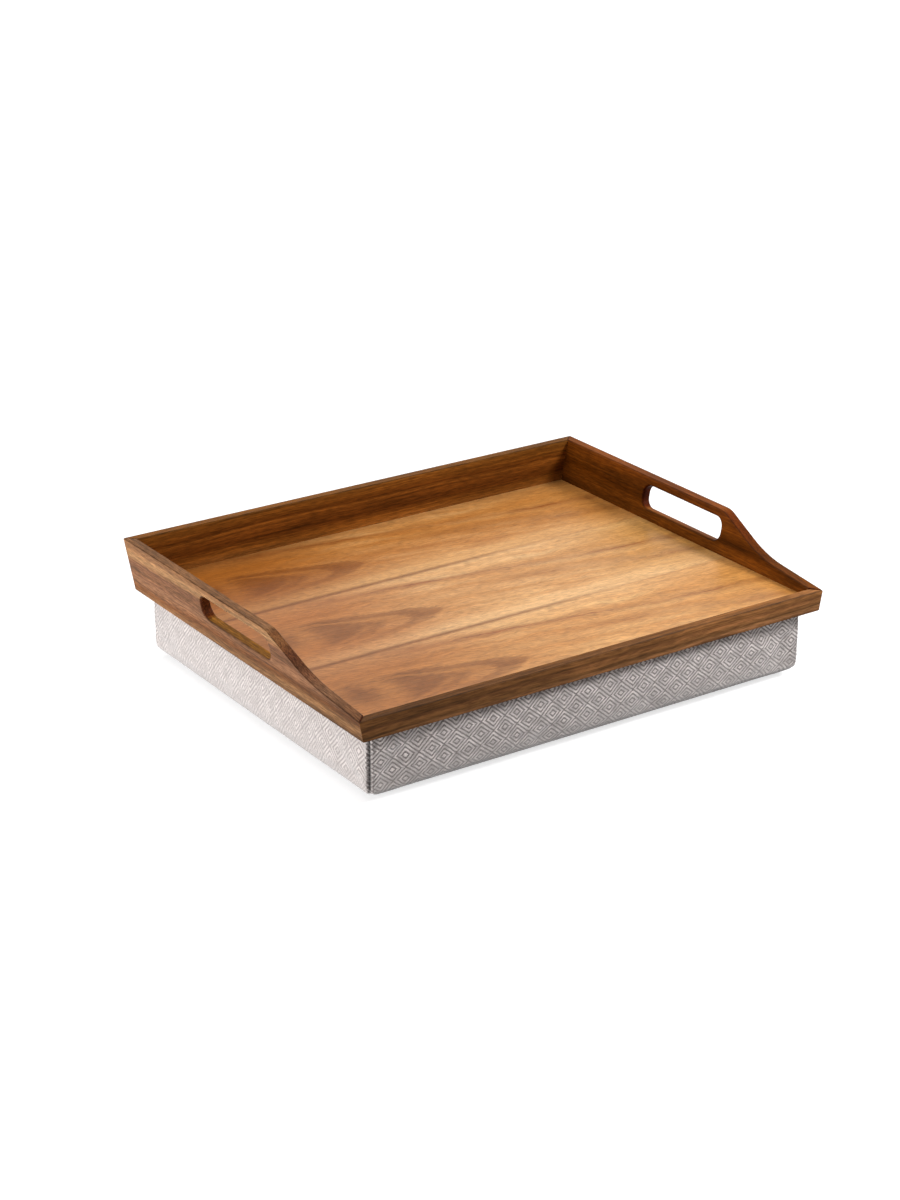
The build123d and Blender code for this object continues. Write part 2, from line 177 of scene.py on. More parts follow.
def acaciaBoard(word, look):
    # Oiled and sanded, not varnished: deep brown face on, with bands of heartwood and sapwood and a low satin shine
    grain = boardGrain
    material, add = newMaterial(word + "BoardOiledAcacia", IOR=1.5, Specular_IOR_Level=grain["specular"])
    long, thick = look["axes"]
    space = partPlace(add)
    cut = add("VectorMath ADD", space, look["cutAt"])

    def boardNoise(name, place):
        length, width, *detail = grain[name]
        size = (length, width, width) if long == "X" else (width, length, width)
        return grainNoise(add, place, size, *detail)

    drift = add("Math MULTIPLY_ADD", boardNoise("drift", cut), grain["wander"], -grain["wander"] / 2)
    drifted = add("VectorMath ADD", space, add("CombineXYZ", {"Z": drift}))
    axes = add("SeparateXYZ", drifted).outputs
    across = add("Math MULTIPLY_ADD", axes[long], look["slope"], axes["Z"])
    low, high = look["bands"][0][0], look["bands"][-1][0]
    stops = [((height - low) / (high - low), colour) for height, colour in look["bands"]]
    colour = add("ValToRGB", add("MapRange", across, low, high), stops=stops)

    facing = add("SeparateXYZ", add("TexCoord").outputs["Normal"]).outputs
    whole = add("SeparateXYZ", space).outputs
    if "slot" in look:
        # Sapwood that shows on the lower face of the hand hold, only where that face looks up: painted light there too
        sapwoodAndLightTint, slotHeight, halfLength = look["slot"]
        off = add("Math ABSOLUTE", add("Math SUBTRACT", whole["Z"], slotHeight))
        out = add("Math ABSOLUTE", whole["Y"])
        sapwoodAndLitShare = 0.9
        for value, full, gone in ((off, 2.5, 4.5), (out, halfLength, halfLength + 4), (facing["Z"], 0.9, 0.6)):
            sapwoodAndLitShare = add("Math MULTIPLY", sapwoodAndLitShare, add("MapRange", value, full, gone, 1.0, 0.0))
        colour = add("Mix", sapwoodAndLitShare, colour, sapwoodAndLightTint)

    shade = add("MapRange", boardNoise("clouds", cut), 0.32, 0.68, 1.0 - look["clouds"], 1.0 + look["clouds"])
    streaks = boardNoise("streaks", drifted)
    for noise, low, high, strength in ((streaks, 0.34, 0.64, look["streaks"]),
                                       (boardNoise("flecks", drifted), 0.36, 0.66, look["flecks"])):
        shade = add("Math MULTIPLY", shade, add("MapRange", noise, low, high, 1.0 + 0.4 * strength, 1.0 - strength))
    # The tone along the board's length is painted light and shade, darker where less light falls
    reach = (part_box("front_wall")[1].x if long == "X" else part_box("left_wall")[1].y) / mm
    tone = add("Math MULTIPLY", shade, add("MapRange", whole[long], -reach, reach, *look["ends"]))
    colour = add("VectorMath SCALE", colour, {"Scale": tone})

    # End grain drinks more oil, so a cut across the grain is darker, and so is an eased edge
    endwise = add("MapRange", add("Math ABSOLUTE", facing[long]), 0.10, 0.55)
    colour = add("Mix", endwise, colour, add("VectorMath MULTIPLY", colour, grain["endGrain"]))
    edge = add("Math ABSOLUTE", add("Math MULTIPLY", facing[thick], facing["Z"]))
    edge = add("MapRange", edge, 0.26, 0.42, 1.0, grain["arris"])
    colour = add("VectorMath SCALE", colour, {"Scale": edge})
    gloss = add("MapRange", streaks, 0.3, 0.7, 0.56, 0.42)
    return finished(material, colour, shade, 0.5, grain["poreDepth"], Roughness=gloss)


# Axes are along the board and through it. Bands go from its lower edge up: height and colour. The ends are painted
# light and shade: the board's tone from the low to the high end of its length, darker where less light falls on it
boards = {
    "back": {
        "axes": "XY", "cutAt": (40, 700, 130), "slope": 0.004,
        "clouds": 0.20, "streaks": 0.46, "flecks": 0.34, "ends": (0.97, 0.86),
        "bands": [(55, "#814F23"), (68, "#955C28"), (73, "#8A511B"), (80, "#66350D"), (88, "#794314"),
                  (91, "#8C511B"), (93, "#6D3A0F"), (99, "#854E19"), (105, "#7E4E1C")],
    },
    "front": {
        "axes": "XY", "cutAt": (310, 160, 12), "slope": -0.006,
        "clouds": 0.25, "streaks": 0.42, "flecks": 0.38, "ends": (0.43, 0.90),
        "bands": [(56, "#714B2D"), (59.5, "#B0794D"), (62, "#835933"), (65, "#A36D40"), (67, "#96623A"),
                  (69, "#7A502C"), (71.5, "#9E693C"), (75, "#87572D")],
    },
    "left": {
        "axes": "YX", "cutAt": (90, 820, 61), "slope": 0.03,
        "clouds": 0.20, "streaks": 0.48, "flecks": 0.42, "ends": (0.92, 1.04),
        "bands": [(54, "#64452A"), (61, "#7F5B3B"), (68, "#6B4122"), (76, "#865E42"), (81, "#82583D"),
                  (84, "#6C4930"), (90, "#754E36"), (93, "#845C3D"), (97, "#A37A52"), (104, "#825A3A")],
        "slot": ("#9A6420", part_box("left_wall")[1].z / mm - 25.0, 50.0),  # colour, height and half length
    },
    "right": {
        "axes": "YX", "cutAt": (660, 240, 33), "slope": -0.03,
        "clouds": 0.36, "streaks": 0.35, "flecks": 0.35, "ends": (1.08, 0.82),
        "bands": [(56, "#733E0E"), (70, "#733E0E"), (76, "#804611"), (84, "#5F3005"), (90, "#703C0D"),
                  (97, "#7E4310"), (105, "#763D12")],
    },
}
for word, look in boards.items():
    dress(acaciaBoard(word, look), word + "_wall")
print("walls: four boards of oiled acacia")


# Floor: three leaves of one log's veneer laid side by side, so that the figure repeats

leafFigure = {
    # Marks as in the boards
    "drift": (55.0, 25.0, 4.0, 0.6),
    "ground": (90.0, 12.0, 4.0, 0.6),
    "lines": (60.0, 1.3, 4.0, 0.7),
    "gaps": (42.0, 5.0, 2.0, 0.6),  # where a streak's lines break off
    "flecks": (7.0, 1.0, 2.0, 0.6),  # drawn three times as wide as they are, to show
    "mottle": (16.0, 7.0, 3.0, 0.6),
    "ragged": (9.0, 5.0, 3.0, 0.7),
    "leafHalf": 57.5,
    "span": 207.0,  # half the length of the floor between the walls
    "grainLean": -0.13,
    "wander": 8.0,
    # The flame and the dark heart inside it: x of the tip, the square of the half width at one millimetre behind the
    # tip, and how far the middle lies ahead of the leaf's rear joint
    "flame": (-40.0, 8.0, 71.0),
    "heart": (-104.0, 9.0, 66.0),
    "flameEnd": -158.0,
    "flameLength": 110.0,
    "rings": [(0.0, 0.30), (0.28, 0.30), (0.42, 0.85), (0.54, 0.20), (0.66, 0.25), (0.72, 0.95), (0.94, 0.75),
              (1.0, 0.0)],  # from the left end to the tip
    "feather": 8.0,  # ragged edge of the flame
    "burl": (-184.0, 58.0),  # a small one at the left
    "burlSize": 30.0,
    # Streaks: how far ahead of the rear joint, slope, half width, and strength from the left wall (0) to the right (1)
    "upperStreak": (25.5, 0.145, 7.5, [(0.0, 0.0), (0.16, 0.2), (0.24, 0.9), (0.38, 0.95), (0.5, 0.8), (0.7, 0.7),
                                       (0.86, 1.0), (1.0, 1.0)]),
    "lowerStreak": (45.5, 0.19, 11.0, [(0.48, 0.0), (0.58, 0.7), (0.68, 0.85), (0.75, 0.5), (0.84, 0.95),
                                       (1.0, 0.8)]),
    "jointLine": (4.8, [(0.1, 1.0), (0.5, 0.9), (0.62, 0.55), (0.78, 0.3), (1.0, 0.15)]),  # half width, strength
    "core": (42.0, [(0.0, 0.3), (0.5, 0.6), (0.9, 0.15)]),  # deeper growth along the middle of a leaf
    "coreAhead": 58.0,
    "paleEdge": (34.0, [(0.05, 0.25), (0.25, 0.45), (0.45, 0.75), (0.7, 0.75), (0.9, 0.5), (1.0, 0.2)]),
    "paleBehind": (45.0, 70.0, 0.45, 1.0),  # paler growth on both sides of a joint, less of it at a leaf's rear edge
    "leftRedAndShadedFades": (-140.0, 20.0),  # x where the redder wood at the left, darkened by painted shade of the left wall, runs out
    "rightComes": (90.0, 200.0),  # and where the golden wood at the right comes in
    "markColours": ("#74380A", "#86501E", "#673508"),  # upper and lower streak, and joint
    "markShare": 0.75,
}


def acaciaLeaf(word, seed, tones):
    # Sliced veneer under a thin satin coat: honey with brown flames, and it mirrors a little at a low angle
    leaf = leafFigure
    deep, middle, pale, edge, left, right, dark = tones
    material, add = newMaterial(word + "LeafSlicedAcacia", IOR=1.45, Specular_IOR_Level=0.25)
    axes = add("SeparateXYZ", partPlace(add)).outputs
    along = axes["X"]
    ahead = add("Math SUBTRACT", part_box("veneer_leaf_" + word)[1].y / mm, axes["Y"])
    leafPlace = add("CombineXYZ", along, ahead, seed)
    share = add("MapRange", along, -leaf["span"], leaf["span"])

    def leafNoise(name, place):
        length, width, *detail = leaf[name]
        return grainNoise(add, place, (length, width, 1.0), *detail)

    drift = add("MapRange", leafNoise("drift", leafPlace), 0.0, 1.0, -leaf["wander"], leaf["wander"])
    drifted = add("Math ADD", ahead, drift)
    lean = add("Math MULTIPLY_ADD", along, leaf["grainLean"], drifted)
    grainPlace = add("CombineXYZ", along, lean, seed)
    lines = leafNoise("lines", grainPlace)
    mottle = leafNoise("mottle", leafPlace)
    ragged = add("MapRange", leafNoise("ragged", leafPlace), 0.0, 1.0, -leaf["feather"], leaf["feather"])
    broken = add("Math MULTIPLY", add("MapRange", lines, 0.38, 0.60, 1.3, 0.3),
                 add("MapRange", leafNoise("gaps", grainPlace), 0.36, 0.60, 0.6, 1.05))

    def markAt(distance, halfWidth, strength):
        # A soft mark that is full at no distance and gone at its half width
        near = add("MapRange", add("Math ABSOLUTE", distance), 0.0, halfWidth, 1.0, 0.0, **smooth)
        if isinstance(strength, list):
            strength = add("ValToRGB", share, stops=strength)
        return add("Math MULTIPLY", near, strength)

    def streak(start, slope, halfWidth, strength):
        # A bundle of fine lines, darker and paler along its length
        distance = add("Math SUBTRACT", drifted, add("Math MULTIPLY_ADD", along, slope, start))
        return add("Math MULTIPLY", markAt(distance, halfWidth, strength), broken)

    def tongue(tip, slender, middle):
        # Nested tongues: level lines of a parabola that points right
        side = add("Math POWER", add("Math SUBTRACT", drifted, middle), 2.0)
        level = add("Math MULTIPLY_ADD", side, 1 / slender, along)
        return add("Math SUBTRACT", add("Math ADD", level, ragged), tip)

    rings = add("MapRange", tongue(*leaf["flame"]), -leaf["flameLength"], 0.0)
    rings = add("ValToRGB", rings, stops=leaf["rings"])
    heart = add("MapRange", tongue(*leaf["heart"]), -14.0, 0.0, 1.0, 0.0, **smooth)
    # The arm on the far side hardly shows
    farSide = add("MapRange", add("Math SUBTRACT", drifted, leaf["flame"][2]), 4.0, 24.0, 1.0, 0.35)
    flame = add("Math MAXIMUM", add("Math MULTIPLY", rings, farSide), heart)
    end = leaf["flameEnd"]
    leftEnd = add("MapRange", add("Math ADD", along, ragged), end - 12.0, end + 16.0, **smooth)
    burl = add("VectorMath SUBTRACT", add("CombineXYZ", along, drifted), (*leaf["burl"], 0.0))
    burl = add("Math ADD", add("VectorMath LENGTH", burl), ragged)
    flame = add("Math MAXIMUM", add("Math MULTIPLY", flame, leftEnd), markAt(burl, leaf["burlSize"], 1.1))
    flame = add("Math MULTIPLY", flame, add("MapRange", mottle, 0.3, 0.7, 0.6, 1.0))

    toJoint = add("Math PINGPONG", ahead, leaf["leafHalf"])
    rearSide = add("MapRange", ahead, *leaf["paleBehind"])
    marks = [streak(*leaf["upperStreak"]), streak(*leaf["lowerStreak"]), markAt(toJoint, *leaf["jointLine"])]
    colour = add("ValToRGB", leafNoise("ground", grainPlace), stops=[(0.32, deep), (0.48, middle), (0.68, pale)])
    for part, tone in (
        # The redder wood at the left is drawn darker too: painted shade of the left wall
        (add("MapRange", along, *leaf["leftRedAndShadedFades"], 1.0, 0.0, **smooth), left),
        (add("MapRange", along, *leaf["rightComes"], 0.0, 0.8), right),
        (markAt(add("Math SUBTRACT", ahead, leaf["coreAhead"]), *leaf["core"]), deep),
        (add("Math MULTIPLY", markAt(toJoint, *leaf["paleEdge"]), rearSide), edge),
        (flame, dark),
        *((add("Math MULTIPLY", mark, leaf["markShare"]), tone) for mark, tone in zip(marks, leaf["markColours"])),
    ):
        colour = add("Mix", part, colour, tone)

    shade = 1.0
    for noise, *limits in ((lines, 0.34, 0.64, 1.13, 0.85), (mottle, 0.3, 0.7, 0.90, 1.10),
                           (leafNoise("flecks", grainPlace), 0.40, 0.70, 1.10, 0.70)):
        shade = add("Math MULTIPLY", shade, add("MapRange", noise, *limits))
    colour = add("VectorMath SCALE", colour, {"Scale": shade})
    gloss = add("MapRange", lines, 0.3, 0.7, 0.28, 0.40)
    return finished(material, colour, shade, 0.4, 0.06, Roughness=gloss)


# Tones of each leaf: deep, middle and pale growth, the paler wood by the joints, the redder wood at the left with
# painted shade of the left wall in it, the golden at the right, and the flame. The back leaf is darker all over:
# painted shade of the back wall
leafTones = {
    # Darker than the other two leaves: painted shade of the back wall
    "back": ("#A3672F", "#B3793D", "#C59158", "#CE9D64", "#915318", "#A86F32", "#723C09"),
    "middle": ("#B37B42", "#C18D55", "#D0A36E", "#DAAE7A", "#9D5D24", "#AE7C3C", "#76420F"),
    "front": ("#B1783E", "#BF894F", "#CE9E64", "#DCB280", "#9C5F28", "#B57C3C", "#744110"),
}
for place, (word, tones) in enumerate(leafTones.items()):
    dress(acaciaLeaf(word, 3.0 + 0.12 * place, tones), "veneer_leaf_" + word)
print("floor: three slip-matched leaves")


# Cushion: boxed, its cover cut as a cross and sewn up the four corners

cushionForm = {
    "corner": 4.5,
    "ease": 0.7,  # how far the cover stands off the block at the left and right
    "seamBow": 0.4,
    "sideSwell": 1.2,
    "softReach": 27.0,
    "softHeight": 12.0,
    "cornerSpread": 0.5,
    "coverThickness": 0.9,
    "steps": (0.9, 8.0, 5.5, 0.93),  # mesh beside a seam, the width that it keeps, mesh between seams, and rows
    "seamDepth": 1.5,
    "seamWidth": 1.1,
    "seamEnds": (4.0, 13.0),  # heights between which it runs out at the bottom
    "seamRidge": 0.5,
    "stitch": 3.7,  # one pucker at each stitch of the corner seams
    "puckerReach": 6.0,
    "puckerSlant": 0.8,
    "puckerHeight": 0.22,
    # Soft creases on each side: both ends (along, up), half width and height
    "creases": {
        "front": [(-108, 46, -82, 12, 7, 0.7), (-30, 18, -2, 50, 10, 0.5), (28, 50, 44, 16, 9, 0.45),
                  (96, 14, 122, 48, 11, 0.5), (152, 50, 172, 20, 8, 0.45), (-178, 16, -160, 50, 9, 0.5)],
        "right": [(-120, 18, -96, 50, 9, 0.5), (-28, 50, -8, 16, 10, 0.5), (70, 14, 100, 46, 11, 0.5)],
        "back": [(-170, 14, -180, 34, 9, 0.4), (-60, 12, -20, 26, 9, 0.4), (90, 26, 130, 12, 9, 0.4)],
        "left": [(-110, 50, -86, 16, 9, 0.5), (-10, 14, 22, 48, 11, 0.5), (104, 50, 122, 18, 9, 0.45)],
    },
}
sides = ("front", "right", "back", "left")
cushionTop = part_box("cover_top")[1] / mm
cushionHalf = (cushionTop.x - cushionForm["seamBow"] + cushionForm["ease"], cushionTop.y)
cushionHeight = cushionTop.z
zipOpening = {
    "halfLength": (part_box("zip_tape_upper")[1].x / mm) - 5.0,
    "height": (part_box("zip_tape_upper")[0].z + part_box("zip_tape_lower")[1].z) / 2 / mm,
    "halfWidth": 5.2,
    "calm": 26.0,  # around the zip the cover stays flat within this
}
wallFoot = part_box("front_wall")[0].z / mm


def spread(length, fineStep, fineBand, wideStep):
    # Places from 0 to a length, close together at both ends
    places, step = [0.0], fineStep
    while places[-1] < length / 2:
        if places[-1] > fineBand:
            step = min(step * 1.25, wideStep)
        places.append(places[-1] + step)
    half = np.array(places) * (length / 2 / places[-1])
    return np.concatenate([half, length - half[-2::-1]])


def snapped(places, targets):
    # Moves the nearest place onto each target, so that an opening's edge falls on the mesh
    places = np.array(places)
    for target in targets:
        places[np.argmin(abs(places - target))] = target
    return places


def sideRows(form, rowStep):
    # Profile of a side from the flat underside up: angle of the soft edge, then height
    turns = np.linspace(0, math.pi / 2, max(6, int(40 / (rowStep * 2))))
    straight = cushionHeight - form["softHeight"]
    heights = form["softHeight"] + np.linspace(0, straight, int(straight / rowStep) + 1)[1:]
    opening = [zipOpening["height"] + way * zipOpening["halfWidth"] for way in (-1, 1)]
    return turns, snapped(heights, opening)


def arcPart(form, halfAlong):
    # Share of a panel's half length that is its half of the corner's round
    arc = form["corner"] * math.pi / 4
    return arc / (halfAlong - form["corner"] + arc)


def turned(along, outward, up, side):
    # From a panel's own directions to the part's axes
    x, y = {"front": (along, -outward), "back": (-along, outward),
            "right": (outward, along), "left": (-outward, -along)}[side]
    return np.stack([x, y, up], -1)


def panelPoints(form, side, columns, turns, heights, skin):
    # Grid of points of one side panel, seam to seam, from the underside up. Columns run from -1 to 1
    halfAlong, halfOut = cushionHalf if side in ("front", "back") else cushionHalf[::-1]
    # How far a row lies inwards, its height, and the outward and upward parts of its normal
    rows = [(form["softReach"] - (form["softReach"] - skin) * math.sin(turn),
             skin + (form["softHeight"] - skin) * (1 - math.cos(turn)),
             math.sin(turn) / form["softReach"], -math.cos(turn) / form["softHeight"]) for turn in turns]
    rows += [(skin, height if height < cushionHeight - 0.01 else cushionHeight - skin, 1.0, 0.0)
             for height in heights]
    arcShare = arcPart(form, halfAlong)
    onStraight = np.clip(columns / (1 - arcShare), -1, 1)
    angle = np.clip((abs(columns) - (1 - arcShare)) / arcShare, 0, 1) * math.pi / 4 * np.sign(columns)
    points, normals = [], []
    for inset, height, outward, upward in rows:
        radius = form["corner"] + (inset - skin) * form["cornerSpread"]
        share = (height - form["softHeight"]) / (cushionHeight - form["softHeight"])
        swell = form["seamBow"] + form["sideSwell"] * math.sin(math.pi * max(share, 0))
        swell = swell * (1 - onStraight ** 2) * (side != "back")
        along = (halfAlong - inset - radius) * onStraight + radius * np.sin(angle)
        out = halfOut - inset - radius + radius * np.cos(angle) + swell
        points.append(turned(along, out, np.full_like(along, height), side))
        size = math.hypot(outward, upward)
        normals.append(turned(np.sin(angle) * outward / size, np.cos(angle) * outward / size,
                              np.full_like(along, upward / size), side))
    return np.array(points), np.array(normals)


def coonsPatch(low, high, first, last):
    # Fills a grid between four edge lines that share their corners
    def shares(line):
        steps = np.linalg.norm(np.diff(line, axis=0), axis=1).cumsum()
        return np.concatenate([[0], steps / steps[-1]])

    u, v = shares(low)[None, :, None], shares(first)[:, None, None]
    ruledV = low[None] * (1 - v) + high[None] * v
    ruledU = first[:, None] * (1 - u) + last[:, None] * u
    corners = low[0] * (1 - u) * (1 - v) + low[-1] * u * (1 - v) + high[0] * (1 - u) * v + high[-1] * u * v
    return ruledV + ruledU - corners


def cushionPanels(form, steps, skin=0.0):
    # Every panel of the cover as a grid: points, outward normals, cloth coordinates and seam distance. The sides'
    # cloth carries on from the underside's, so the weave does too
    turns, heights = sideRows(form, steps[3])
    panels = {}
    for side in sides:
        halfAlong = cushionHalf[0] if side in ("front", "back") else cushionHalf[1]
        halfLine = halfAlong - form["corner"] + form["corner"] * math.pi / 4
        places = spread(2 * halfLine, *steps[:3]) - halfLine
        if side in ("front", "back"):
            arcless = halfLine * (1 - arcPart(form, halfAlong))
            edge = zipOpening["halfLength"] * arcless / (halfAlong - form["corner"])
            places = snapped(places, [-edge, edge])
        points, normals = panelPoints(form, side, places / halfLine, turns, heights, skin)
        climb = np.linalg.norm(np.diff(points[:, len(places) // 2], axis=0), axis=1).cumsum()
        flat = abs(points[0, len(places) // 2, 1 if side in ("front", "back") else 0])
        along, out = np.meshgrid(places, flat + np.concatenate([[0], climb]))
        panels[side] = {
            "points": points, "normals": normals,
            "cloth": turned(along, out, out, side)[..., :2],
            "fromSeam": np.broadcast_to(halfLine - abs(places), points.shape[:2]),
        }
    for lid, row, up in (("under", 0, -1), ("top", -1, 1)):
        edges = {side: panels[side]["points"][row] for side in sides}
        points = coonsPatch(edges["front"], edges["back"][::-1], edges["left"][::-1], edges["right"])
        panels[lid] = {
            "points": points, "normals": np.broadcast_to([0, 0, up], points.shape).astype(float),
            "cloth": points[..., :2].copy(),
            "fromSeam": np.full(points.shape[:2], 99.0),
        }
    return panels


def meshOf(name, panels, holes=None):
    # One welded mesh from the panels, with the cloth coordinates as its UV map and the distance from a seam
    points, faces, uvs, lids, aways = [], [], [], [], []
    for side, panel in panels.items():
        rows, columns = panel["points"].shape[:2]
        start = len(points)
        points += list(panel["points"].reshape(-1, 3) * mm)
        aways += list(panel["fromSeam"].ravel())
        for r in range(rows - 1):
            for c in range(columns - 1):
                if holes and holes(side, panel, r, c):
                    continue
                ring = [(r, c), (r, c + 1), (r + 1, c + 1), (r + 1, c)]
                if side == "under":
                    ring.reverse()
                faces.append([start + i * columns + j for i, j in ring])
                uvs += [panel["cloth"][i, j] for i, j in ring]
                lids.append(side == "top")
    mesh = bpy.data.meshes.new(name)
    mesh.from_pydata([tuple(p) for p in points], [], faces)
    mesh.uv_layers.new(name="cloth").data.foreach_set("uv", np.array(uvs, np.float32).ravel())
    mesh.attributes.new("fromSeam", "FLOAT", "POINT").data.foreach_set("value", np.array(aways, np.float32))
    mesh.polygons.foreach_set("material_index", np.array(lids, np.int32))
    mesh.polygons.foreach_set("use_smooth", np.ones(len(faces), bool))
    welded = bmesh.new()
    welded.from_mesh(mesh)
    bmesh.ops.remove_doubles(welded, verts=welded.verts, dist=0.02 * mm)
    bmesh.ops.delete(welded, geom=[v for v in welded.verts if not v.link_faces], context="VERTS")
    welded.to_mesh(mesh)
    welded.free()
    return newObject(name, mesh)


clothRun = {
    "frames": 20,
    "pressure": 4.0,
    "stiffness": 20.0,
    "bending": 1.5,
    "slack": 0.006,  # the cover is cut this much larger than the foam
    "outward": 1.8,  # how far the cover may move out, and in
    "inward": 0.7,
    "steps": (6.0, 12.0, 9.0, 6.0),
}


def settledCover(form, run):
    # Blows a coarse copy of the cover against its seams. Returns each panel's grid and its movement
    panels = cushionPanels(form, run["steps"])
    piece = meshOf("coverTrial", panels)
    held = piece.vertex_groups.new(name="held")
    tree = KDTree(len(piece.data.vertices))
    for vertex in piece.data.vertices:
        tree.insert(vertex.co, vertex.index)
    tree.balance()
    lookUp = {side: np.array([tree.find(Vector(p * mm))[1] for p in panel["points"].reshape(-1, 3)])
              .reshape(panel["points"].shape[:2]) for side, panel in panels.items()}
    pinned = set()
    for side, grid in lookUp.items():
        pinned.update((grid[:, [0, -1]] if side in sides else grid).ravel().tolist())
    held.add(sorted(pinned), 1.0, "REPLACE")
    rest = np.array([v.co for v in piece.data.vertices])

    cloth = piece.modifiers.new("cloth", "CLOTH")
    settings = cloth.settings
    settings.use_pressure = True
    settings.uniform_pressure_force = run["pressure"]
    settings.effector_weights.gravity = 0
    settings.vertex_group_mass = "held"
    settings.shrink_min = -run["slack"]
    settings.tension_stiffness = settings.compression_stiffness = run["stiffness"]
    settings.bending_stiffness = run["bending"]
    cloth.point_cache.frame_start, cloth.point_cache.frame_end = 1, run["frames"]
    for step in range(1, run["frames"] + 1):
        bpy.context.scene.frame_set(step)
    graph = bpy.context.evaluated_depsgraph_get()
    moved = np.array([v.co for v in piece.evaluated_get(graph).data.vertices])
    bpy.context.scene.frame_set(1)
    bpy.data.objects.remove(piece)
    found, furthest = {}, 0.0
    for side in sides:
        panel = panels[side]
        out = (((moved - rest) / mm)[lookUp[side]] * panel["normals"]).sum(2)
        furthest = max(furthest, float(abs(out).max()))
        low = np.clip(panel["points"][..., 2] / form["softHeight"], 0, 1)
        out = np.clip(out, -run["inward"], run["outward"]) * low ** 2
        found[side] = (panel, panel["normals"] * out[..., None])
    print("cushion: cover settled, moved up to", round(furthest, 1), "mm before its limits")
    return found


def onFinerGrid(values, coarse, fine):
    # Reads a coarse panel's movement at the places of a finer one, along then up
    def lines(panel):
        cloth = panel["cloth"]
        middle = cloth[:, cloth.shape[1] // 2]
        across, up = [np.linalg.norm(line - line[0], axis=1) for line in (cloth[0], middle)]
        return across / across[-1], up / up[-1]

    (fromAcross, fromUp), (toAcross, toUp) = lines(coarse), lines(fine)
    out = np.empty(fine["points"].shape)
    for axis in range(3):
        alongRows = np.array([np.interp(toAcross, fromAcross, row) for row in values[..., axis]])
        out[..., axis] = np.array([np.interp(toUp, fromUp, column) for column in alongRows.T]).T
    return out


def settle(panels, settled):
    # Lays the movement of the settled cover on other panels, but not on the zip and not between the walls
    for side, (coarse, moved) in settled.items():
        panel = panels[side]
        x, z = panel["points"][..., 0], panel["points"][..., 2]
        shift = onFinerGrid(moved, coarse, panel)
        if side == "back":
            out = np.maximum(abs(x) - zipOpening["halfLength"], 0)
            off = np.maximum(abs(z - zipOpening["height"]) - zipOpening["halfWidth"] - 4.0, 0)
            shift *= np.clip(np.hypot(out, off * 2) / zipOpening["calm"], 0, 1)[..., None]
        shift *= np.clip((wallFoot - 1.0 - z) / 5.0, 0, 1)[..., None]
        panel["points"] += shift


def addCreases(form, side, panel):
    # Long low folds, where the cover is loose on its foam
    x, y, climb = np.moveaxis(panel["points"], -1, 0)
    along = {"front": x, "back": -x, "right": -y, "left": y}[side]
    lift = np.zeros_like(climb)
    for a0, z0, a1, z1, halfWidth, height in form["creases"][side]:
        run, rise = a1 - a0, z1 - z0
        length = math.hypot(run, rise)
        onLine = ((along - a0) * run + (climb - z0) * rise) / length
        off = ((along - a0) * rise - (climb - z0) * run) / length
        ends = np.clip(1.2 - abs(onLine / length - 0.5) * 1.6, 0, 1)
        lift += height * ends * np.exp(-(off / halfWidth) ** 2)
    lift *= np.clip((wallFoot - 1 - climb) / 6, 0, 1) * np.clip(climb / form["softHeight"], 0, 1)
    panel["points"] += panel["normals"] * lift[..., None]


def addSeams(form, panel):
    # The sewn corner: cloth drawn into the seam, with a ridge on each side and a pucker at each stitch
    away, climb = panel["fromSeam"], panel["points"][..., 2]
    low, high = form["seamEnds"]
    fade = np.clip((climb - low) / (high - low), 0, 1)
    groove = np.exp(-(away / form["seamWidth"]) ** 2)
    ridge = np.exp(-((away - 2.2 * form["seamWidth"]) / form["seamWidth"]) ** 2)
    turn = 2 * math.pi / form["stitch"] * (climb - form["puckerSlant"] * away)
    near = np.clip(away, 0.0, 0.8) / 0.8 * np.clip(1.2 - away / form["puckerReach"], 0, 1)
    depth = form["seamRidge"] * ridge - form["seamDepth"] * groove + form["puckerHeight"] * near * np.sin(turn)
    panel["points"] += panel["normals"] * (depth * fade)[..., None]


def makeCushion(form, settled):
    panels = cushionPanels(form, form["steps"])
    settle(panels, settled)
    for side in sides:
        addCreases(form, side, panels[side])
        addSeams(form, panels[side])

    def overZip(side, panel, r, c):
        middle = panel["points"][r:r + 2, c:c + 2].reshape(-1, 3).mean(0)
        return (side == "back" and abs(middle[0]) < zipOpening["halfLength"]
                and abs(middle[2] - zipOpening["height"]) < zipOpening["halfWidth"])

    piece = meshOf("cushionCover", panels, overZip)
    thick = piece.modifiers.new("clothThickness", "SOLIDIFY")
    thick.thickness = form["coverThickness"] * mm
    thick.offset = -1
    return piece


weave = {
    "thread": (0.98, 0.86),  # along and across; real threads are half as wide, which wouldn't show
    "threads": 22,  # from one diamond to the next: two pale and two dark in turn, four pale in the middle of each
    "lightYarn": "#E6DCD8",
    "darkYarn": "#6F6562",
    "seamShade": "#3A3432",
    "sideLitContrast": (0.9, 0.6),  # on the long and the short sides; the short sides' lower contrast is painted light, from the low lamp at the left
    # the short sides' higher middle is painted light: the weave is drawn paler there
    "middle": (0.4, 0.46),
    "fade": (3.0, 26.0, 0.45, 1.0),  # the weave is drawn fainter low down, as painted shade where the soft edge turns away from the light: heights and shares
    "loose": (16.0, 1.8),  # how far apart the cloth drifts, and how far it drifts
    "worn": 7.0,
}


